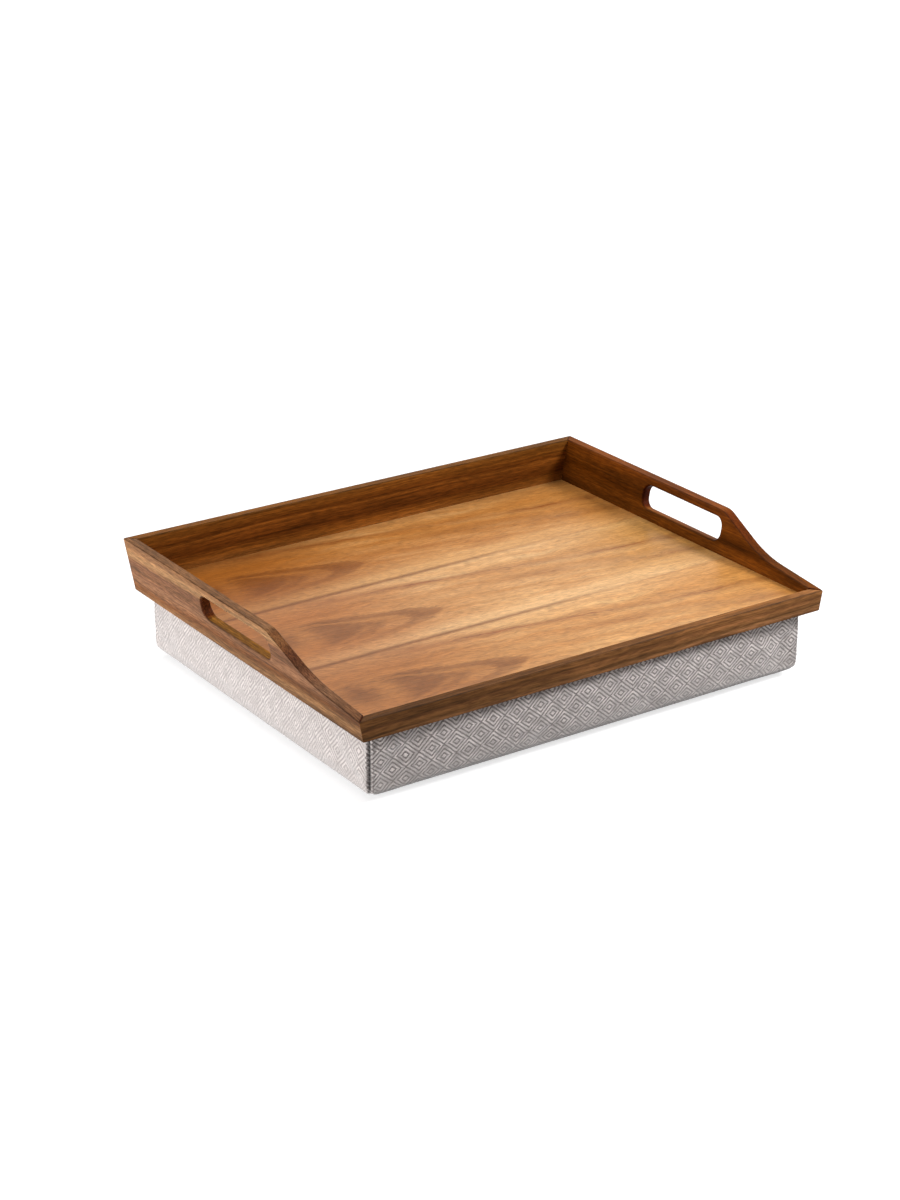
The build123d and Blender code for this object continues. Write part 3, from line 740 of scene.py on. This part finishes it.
def diamondTwill(look):
    # Woven cotton in two yarns: matt and ribbed, with raised pale floats and a soft fuzz that whitens it at a low angle
    material, add = newMaterial("diamondTwillWovenCotton", IOR=1.45, Sheen_Weight=0.8, Sheen_Roughness=0.5,
                                Roughness=0.9, Specular_IOR_Level=0.2)
    place = add("UVMap", uv_map="cloth")
    loose = grainNoise(add, place, look["loose"][0], 2.0).outputs["Color"]
    loose = add("VectorMath SUBTRACT", loose, (0.5, 0.5, 0.5))
    place = add("VectorMath ADD", place, add("VectorMath SCALE", loose, {"Scale": look["loose"][1]}))
    cell = add("VectorMath SNAP", place, (*look["thread"], 1.0))
    axes = add("SeparateXYZ", cell).outputs
    along, across = [add("Math DIVIDE", axes[axis], width * look["threads"])
                     for axis, width in zip("XY", look["thread"])]
    diagonals = []
    for way in ("ADD", "SUBTRACT"):
        # Distance from the middle of the diamond along one of its two diagonal directions
        diagonal = add("Math ADD", add("Math " + way, along, across), 0.5 / look["threads"])
        diagonals.append(add("Math PINGPONG", add("Math PINGPONG", diagonal, 1.0), 0.5))
    ring = ribs(add, add("Math MAXIMUM", *diagonals), 4 / look["threads"])  # four threads to a turn
    speck = add("TexWhiteNoise", cell, noise_dimensions="2D")
    onTop = add("MapRange", add("Math ADD", speck, ring), 0.1, 0.9)
    light = add("Math MULTIPLY", onTop, add("MapRange", grainNoise(add, place, look["worn"], 2.0),
                                            0.35, 0.65, 0.45, 1.0))
    up = add("SeparateXYZ", partPlace(add)).outputs["Z"]
    # The short sides are drawn paler and flatter: painted light
    litSideFacing = add("SeparateXYZ", add("TexCoord").outputs["Normal"]).outputs["X"]
    sideLitContrast, middle = [add("MapRange", add("Math ABSOLUTE", litSideFacing), 0.5, 0.85, *look[name])
                        for name in ("sideLitContrast", "middle")]
    # Fainter weave low down: painted shade of the soft edge
    sideLitContrast = add("Math MULTIPLY", add("MapRange", up, *look["fade"]), sideLitContrast)
    light = add("Math MULTIPLY_ADD", add("Math SUBTRACT", light, look["middle"][0]), sideLitContrast, middle)
    colour = add("Mix", light, look["darkYarn"], look["lightYarn"])

    # Puckers run out of the sewn corners like a fishbone, and the thread bites in at every stitch. The seam line and
    # the pucker troughs are drawn dark: painted shade
    away = add("Attribute", attribute_name="fromSeam").outputs["Fac"]
    whole = add("MapRange", up, *cushionForm["seamEnds"])
    pucker = ribs(add, add("Math MULTIPLY_ADD", away, -cushionForm["puckerSlant"], up), cushionForm["stitch"])
    near = add("Math MULTIPLY", add("MapRange", away, 0.8, cushionForm["puckerReach"], 1.0, 0.0), whole)
    pucker = add("Math MULTIPLY", pucker, near)
    line = add("Math MULTIPLY", add("MapRange", away, 0.5, 1.7, 0.95, 0.0), whole)
    seamPaintedShade = add("Math MAXIMUM", add("MapRange", pucker, 0.1, -1.0, 0.0, 0.75), line)
    colour = add("Mix", seamPaintedShade, colour, look["seamShade"])

    # Each crossing is a small pad, and a pale float stands higher than a dark one
    inCell = add("SeparateXYZ", add("VectorMath SUBTRACT", place, cell)).outputs
    pads = [ribs(add, inCell[axis], 2 * width) for axis, width in zip("XY", look["thread"])]
    height = add("Math MULTIPLY_ADD", add("Math MULTIPLY", *pads), 0.6, onTop)
    height = add("Math MULTIPLY_ADD", pucker, 1.6, height)
    return finished(material, colour, height, 0.8, 0.22)


def plainCotton():
    # Plain woven lining: dull, finely ribbed both ways. Real threads are 0.4 apart, drawn at 0.9 to show
    material, add = newMaterial("liningWovenCotton", Roughness=0.92, Sheen_Weight=0.15, Specular_IOR_Level=0.25)
    place = add("UVMap", uv_map="cloth")
    axes = add("SeparateXYZ", place).outputs
    cross = add("Math MULTIPLY", ribs(add, axes["X"], 0.9), ribs(add, axes["Y"], 0.9))
    tone = add("Math MULTIPLY_ADD", cross, 0.25, grainNoise(add, place, (9.0, 0.9, 1.0), 2.0))
    colour = add("ValToRGB", tone, stops=[(0.2, "#A39B98"), (0.8, "#C9C2BE")])
    return finished(material, colour, cross, 0.5, 0.12)


settled = settledCover(cushionForm, clothRun)
cushion = makeCushion(cushionForm, settled)
cushion.data.materials.append(diamondTwill(weave))
cushion.data.materials.append(plainCotton())
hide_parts("cover_shell", "cover_top")
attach(cushion, "cushion")
print("cushion:", len(cushion.data.polygons), "faces")


# Stitches: a row round the zip, and one round each loop strip

seamStitch = {
    "length": 2.7,
    "pitch": 3.6,
    "halfWidth": 0.36,  # real thread is half as thick, which wouldn't show
    "halfHeight": 0.2,
    "dip": 0.35,  # how far its ends go down into the holes
    "rings": 5,
    "corners": 6,
    "besideZip": 2.4,
    "besideStrip": 1.9,
    "inPile": 0.13,  # pulled down into the pile of the strips, so that they stay clear of the hooks
}


def rowPlaces(corners, pitch):
    # Middle and direction of every stitch along a closed run of straight rows
    places = []
    for start, end in zip(corners, corners[1:] + corners[:1]):
        start, end = Vector(start), Vector(end)
        count = max(1, round((end - start).length / pitch))
        places += [(start.lerp(end, (i + 0.5) / count), (end - start).normalized()) for i in range(count)]
    return places


def addStitches(built, look, places, surface, down, sunk):
    # One short thread at each place, laid on the surface that the ray from outside meets
    down = Vector(down)
    for middle, along in places:
        hit, normal = surface.ray_cast((middle - down * 40) * mm, down)[:2]
        if hit is None:
            continue
        normal = normal if normal.dot(down) < 0 else -normal
        along = (along - normal * along.dot(normal)).normalized()
        across = normal.cross(along)
        rings = []
        for ring in range(look["rings"]):
            share = 2 * ring / (look["rings"] - 1) - 1
            centre = along * share * look["length"] / 2 - normal * (look["dip"] * share ** 4 + sunk)
            slim = 1 - 0.35 * share ** 4
            rings.append([built.verts.new(hit + mm * (
                centre + across * look["halfWidth"] * slim * math.cos(turn)
                + normal * look["halfHeight"] * slim * math.sin(turn)))
                for turn in (2 * math.pi * i / look["corners"] for i in range(look["corners"]))])
        for low, high in zip(rings, rings[1:]):
            for i in range(look["corners"]):
                j = (i + 1) % look["corners"]
                built.faces.new((low[i], high[i], high[j], low[j]))
        built.faces.new(rings[0])
        built.faces.new(rings[-1][::-1])


def makeStitches(look):
    along = zipOpening["halfLength"] + look["besideZip"]
    low, high = [zipOpening["height"] + side * (zipOpening["halfWidth"] + look["besideZip"]) for side in (-1, 1)]
    corners = [(-along, 200, low), (along, 200, low), (along, 200, high), (-along, 200, high)]
    rows = [(cushion.data, corners, (0, -1, 0), 0.0)]
    for name in ("loop_strip_left", "loop_strip_right"):
        first, last = [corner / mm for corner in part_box(name)]
        inset = look["besideStrip"]
        x0, y0, x1, y1 = first.x + inset, first.y + inset, last.x - inset, last.y - inset
        corners = [(x0, y0, last.z), (x1, y0, last.z), (x1, y1, last.z), (x0, y1, last.z)]
        rows.append((nodes[name].data, corners, (0, 0, -1), look["inPile"]))
    built = bmesh.new()
    for mesh, corners, down, sunk in rows:
        under = bmesh.new()
        under.from_mesh(mesh)
        addStitches(built, look, rowPlaces(corners, look["pitch"]), BVHTree.FromBMesh(under), down, sunk)
        under.free()
    bmesh.ops.recalc_face_normals(built, faces=built.faces)
    mesh = bpy.data.meshes.new("seamStitches")
    built.to_mesh(mesh)
    built.free()
    mesh.polygons.foreach_set("use_smooth", np.ones(len(mesh.polygons), bool))
    return newObject("seamStitches", mesh)


def spunThread():
    # Twisted polyester thread: two plies that show as slanting ribs, with a soft shine
    material, add = newMaterial("sewingThreadSpunPolyester", Roughness=0.6, Sheen_Weight=0.2)
    axes = add("SeparateXYZ", partPlace(add)).outputs
    twist = ribs(add, add("Math ADD", add("Math ADD", axes["X"], axes["Y"]), axes["Z"]), 0.55)
    colour = add("ValToRGB", add("MapRange", twist, -1.0), stops=[(0.0, "#B9B0AC"), (0.7, "#E4DDD9")])
    return finished(material, colour, twist, 0.5, 0.08)


stitches = makeStitches(seamStitch)
stitches.data.materials.append(spunThread())
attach(stitches, "cushion")
print("stitches:", len(stitches.data.polygons), "faces")


# Foam inside the cover, cut back behind the zip

foamBlock = {
    "skin": 1.6,
    "steps": (3.0, 9.0, 12.0, 5.0),
    "relief": 4.6,
    "reliefHalfWidth": 12.5,
    "reliefEnds": 5.5,
    "cell": 1.4,
}


def makeFoam(form, look, settled):
    panels = cushionPanels(form, look["steps"], look["skin"])
    settle(panels, settled)
    back = panels["back"]["points"]
    inLength = abs(back[..., 0]) < zipOpening["halfLength"] + look["reliefEnds"]
    inWidth = abs(back[..., 2] - zipOpening["height"]) < look["reliefHalfWidth"]
    back[..., 1] -= look["relief"] * (inLength & inWidth)
    return meshOf("foamInsert", panels)


def openFoam(look):
    # Cut polyurethane foam: cream, dead matt, full of small open cells
    material, add = newMaterial("cutPolyurethaneFoam", Roughness=1.0, Specular_IOR_Level=0.1)
    cells = add("VectorMath SCALE", partPlace(add), {"Scale": 1 / look["cell"]})
    cells = add("TexVoronoi", {"Vector": cells, "Scale": 1.0})
    colour = add("ValToRGB", cells, stops=[(0.1, "#C9C09A"), (0.7, "#EFE8CD")])
    return finished(material, colour, cells, 0.7, 0.5)


foam = makeFoam(cushionForm, foamBlock, settled)
foam.data.materials.append(openFoam(foamBlock))
foam.data.materials.append(foam.data.materials[0])
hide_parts("cushion_insert")
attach(foam, "cushion")
print("foam:", len(foam.data.polygons), "faces")


# Tapes of the zip and of the hook-and-loop: tones, axis and spacing of the ribs, roughness

tapes = {
    "zipTapeWovenPolyester": ("#9A918E", "#C4BCB8", "X", 1.0, 0.85, "zip_tape_upper", "zip_tape_lower"),
    "loopTapeBrushedNylon": ("#2B2927", "#5A5653", "Y", 1.6, 0.95, "loop_strip_left", "loop_strip_right"),
    "hookTapeMouldedNylon": ("#161515", "#3A3837", "Y", 1.5, 0.6, "hook_strip_left", "hook_strip_right"),
}


def ribbedTape(name, base, light, axis, spacing, roughness):
    # Woven, brushed or moulded tape: dull, ribbed across its length, with a stray lighter fibre
    material, add = newMaterial(name, Roughness=roughness, Sheen_Weight=0.2)
    space = partPlace(add)
    rib = ribs(add, add("SeparateXYZ", space).outputs[axis], spacing)
    tone = add("Math MULTIPLY_ADD", rib, 0.2, grainNoise(add, space, 1 / 1.3, 3.0))
    colour = add("ValToRGB", tone, stops=[(0.3, base), (0.85, light)])
    return finished(material, colour, tone, 0.8, 0.25)


for name, (*look, first, second) in tapes.items():
    dress(ribbedTape(name, *look), first, second)


# Other small parts: size of the marks in millimetres, detail of the noise, two tones, and relief or gloss

smallParts = {
    # Moulded zip teeth: slightly waxy plastic with faint flow marks
    "zipTeethMouldedAcetal": {
        "on": ("zip_teeth_upper", "zip_teeth_lower"), "shader": {"Roughness": 0.42, "IOR": 1.48},
        "noise": (1.25, 2.0), "tones": [(0.3, "#A9A19D"), (0.7, "#BDB5B1")],
    },
    # Die-cast zinc with a baked grey coat: smooth, with a fine orange-peel ripple
    "zipMetalPaintedZinc": {
        "on": ("zip_top_stop", "zip_bottom_stop", "zip_slider", "zip_pull"),
        "shader": {"Roughness": 0.35, "IOR": 1.5, "Coat_Weight": 0.3},
        "noise": (1 / 2.2, 2.0), "tones": [(0.3, "#6F6A68"), (0.7, "#7E7976")], "relief": (0.3, 0.05),
    },
    # Brad wire: drawn steel with marks along its length
    "bradsDrawnSteel": {
        "on": ("corner_brads",), "shader": {"Metallic": 1.0},
        "noise": ((20.0, 0.25, 0.25), 2.0), "tones": [(0.3, "#A8A8AA"), (0.7, "#CBCBCD")], "gloss": (0.25, 0.5),
    },
    # Sanded veneer with one thin coat: pale, dull and straight grained
    "underVeneerSandedAcacia": {
        "on": ("underside_veneer",), "shader": {"Roughness": 0.6, "IOR": 1.5},
        "noise": ((160.0, 5.0, 2.0), 5.0, 0.65), "bent": 0.6,
        "tones": [(0.32, "#8A5A32"), (0.68, "#B98652")], "relief": (0.3, 0.1),
    },
    # Bare sanded plywood: paler and duller still
    "corePoplarPlywood": {
        "on": ("floor_core",), "shader": {"Roughness": 0.75, "IOR": 1.5},
        "noise": ((160.0, 5.0, 2.0), 5.0, 0.65), "bent": 0.6,
        "tones": [(0.32, "#B59467"), (0.68, "#D8BC8E")], "relief": (0.3, 0.1),
    },
}


def twoTone(name, look):
    material, add = newMaterial(name, **look["shader"])
    marks = grainNoise(add, partPlace(add), *look["noise"], Distortion=look.get("bent", 0.0))
    gloss = {"Roughness": add("MapRange", marks, 0.0, 1.0, *look["gloss"])} if "gloss" in look else {}
    relief = (marks, *look["relief"]) if "relief" in look else ()
    return finished(material, add("ValToRGB", marks, stops=look["tones"]), *relief, **gloss)


for name, look in smallParts.items():
    dress(twoTone(name, look), *look["on"])
print("small parts: tapes, teeth, metal and hidden wood")


# Studio: pale floor, a long low light at the left, a soft one overhead and a smaller one at the front right

studio = {
    "lamps": {
        # place and aim in metres, size along and up, and how bright it is
        "lowLeft": {"place": (-0.85, 0.10, 0.06), "aim": (-0.2, 0.0, 0.04), "size": (1.1, 0.14), "power": 9.5},
        "overhead": {"place": (-0.25, 0.55, 1.7), "aim": (0.0, 0.0, 0.07), "size": (1.5, 1.2), "power": 21.5},
        "frontRight": {"place": (0.85, -0.82, 1.0), "aim": (0.1, 0.0, 0.05), "size": (0.4, 0.4), "power": 21.0},
    },
    "surround": 0.27,
    "floorColour": "#B0B0B0",
    "floorGlow": (0.72, 1.1),  # near the part, where its shadow shows, and far from it
    "glowFades": (0.55, 1.3),  # metres from the part
    "floorSize": 14.0,
}


def seenRays(add):
    # 1 for rays of the camera and of reflections, so that both show a white studio
    rays = add("LightPath").outputs
    seen = add("Math MAXIMUM", rays["Is Camera Ray"], rays["Is Glossy Ray"])
    return add("Math MAXIMUM", seen, rays["Is Transmission Ray"])


def addStudio(look):
    for name, lampLook in look["lamps"].items():
        lamp = newObject(name, bpy.data.lights.new(name, "AREA"))
        lamp.data.shape = "RECTANGLE"
        lamp.data.size, lamp.data.size_y = lampLook["size"]
        lamp.data.energy = lampLook["power"]
        lamp.location = lampLook["place"]
        outward = Vector(lampLook["place"]) - Vector(lampLook["aim"])
        lamp.rotation_euler = outward.to_track_quat("Z", "Y").to_euler()
        lamp.visible_camera = False
    world = bpy.data.worlds.new("surround")
    bpy.context.scene.world = world
    world.use_nodes = True
    add = partial(addNode, world.node_tree)
    strength = add("MapRange", seenRays(add), 0.0, 1.0, look["surround"], 1.0)
    feed(world.node_tree.nodes["Background"], {"Color": (1, 1, 1, 1), "Strength": strength})

    mesh = bpy.data.meshes.new("studioFloor")
    half = look["floorSize"] / 2
    mesh.from_pydata([(-half, -half, 0), (half, -half, 0), (half, half, 0), (-half, half, 0)], [], [(0, 1, 2, 3)])
    floor = newObject("studioFloor", mesh)
    material, add = newMaterial("paintedStudioFloor", Roughness=1.0, Specular_IOR_Level=0.0,
                                Emission_Color=(1, 1, 1, 1))
    away = add("VectorMath LENGTH", add("TexCoord").outputs["Object"])
    glow = add("MapRange", away, *look["glowFades"], *look["floorGlow"])
    glow = add("Math MULTIPLY", seenRays(add), glow)
    floor.data.materials.append(finished(material, look["floorColour"], Emission_Strength=glow))


addStudio(studio)
bpy.context.scene.view_settings.view_transform = "Standard"
print("studio: three lights and a pale floor")
